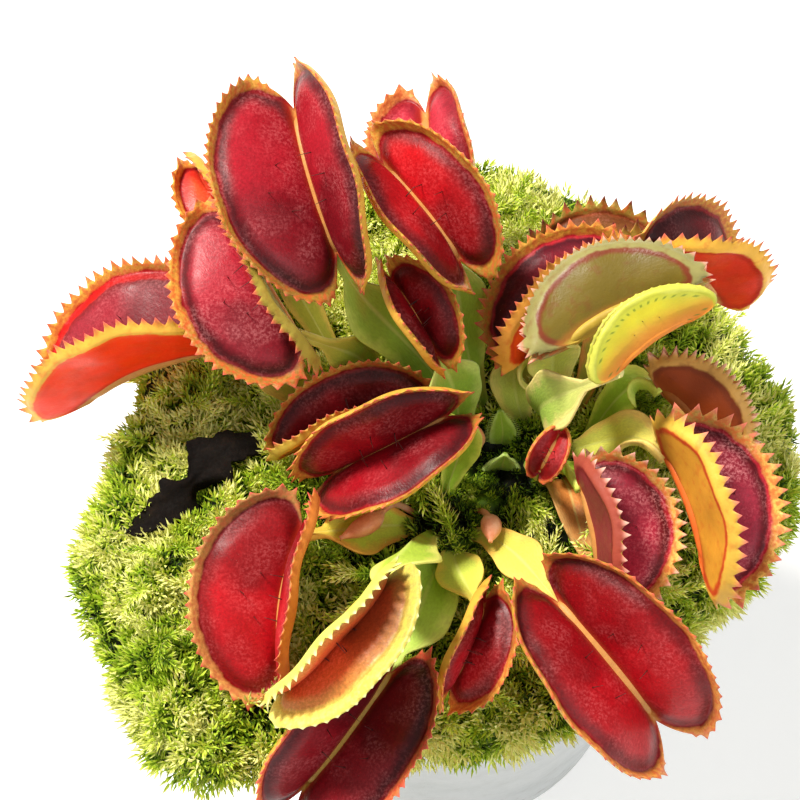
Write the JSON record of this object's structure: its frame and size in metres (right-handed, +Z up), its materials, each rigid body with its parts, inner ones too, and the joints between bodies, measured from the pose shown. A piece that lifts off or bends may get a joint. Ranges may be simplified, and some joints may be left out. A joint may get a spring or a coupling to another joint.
{
  "type": "potted venus flytrap",
  "caption": "Carnivorous house plant with open two-lobed toothed traps on flat stalks over a cushion of moss in a round tapered pot.",
  "frame": {"origin": "centre of the pot's flat underside", "axes": "+Z up out of the pot, -Y towards the front of the picture, +X to its right"},
  "size_m": [0.1168, 0.1182, 0.1463],
  "materials": {
    "pot": "satin light grey",
    "peat": "moist, crumbly, matt",
    "moss": "feathery, matt",
    "rhizome": "smooth, waxy",
    "trap": "satin red inside, yellow rim",
    "stalk": "satin green",
    "bud": "satin",
    "young_leaf": "satin",
    "old_leaf": "dry, matt",
    "dead_leaf": "wet black"
  },
  "bodies": {
    "root": {"pot": "pot", "peat": "peat", "moss": "moss", "rhizome_a": "rhizome", "rhizome_b": "rhizome", "rhizome_c": "rhizome", "rhizome_d": "rhizome", "trap_01": "trap", "trap_02": "trap", "trap_03": "trap", "trap_04": "trap", "trap_05": "trap", "trap_06": "trap", "trap_07": "trap", "trap_08": "trap", "trap_09": "trap", "trap_10": "trap", "trap_11": "trap", "trap_12": "trap", "trap_13": "trap", "trap_14": "trap", "trap_15": "trap", "trap_16": "trap", "trap_17": "trap", "trap_18": "trap", "trap_19": "trap", "trap_20": "trap", "trap_21": "trap", "trap_22": "trap", "trap_23": "trap", "stalk_01": "stalk", "stalk_02": "stalk", "stalk_03": "stalk", "stalk_04": "stalk", "stalk_05": "stalk", "stalk_06": "stalk", "stalk_07": "stalk", "stalk_08": "stalk", "stalk_09": "stalk", "stalk_10": "stalk", "stalk_11": "stalk", "stalk_12": "stalk", "stalk_13": "stalk", "stalk_14": "stalk", "stalk_15": "stalk", "stalk_16": "stalk", "stalk_17": "stalk", "stalk_18": "stalk", "stalk_19": "stalk", "stalk_20": "stalk", "stalk_21": "stalk", "stalk_22": "stalk", "stalk_23": "stalk", "bud_1": "bud", "bud_2": "bud", "bud_3": "bud", "young_leaf_1": "young_leaf", "young_leaf_2": "young_leaf", "old_stalk": "old_leaf", "dead_leaf": "dead_leaf"}
  },
  "joints": []
}
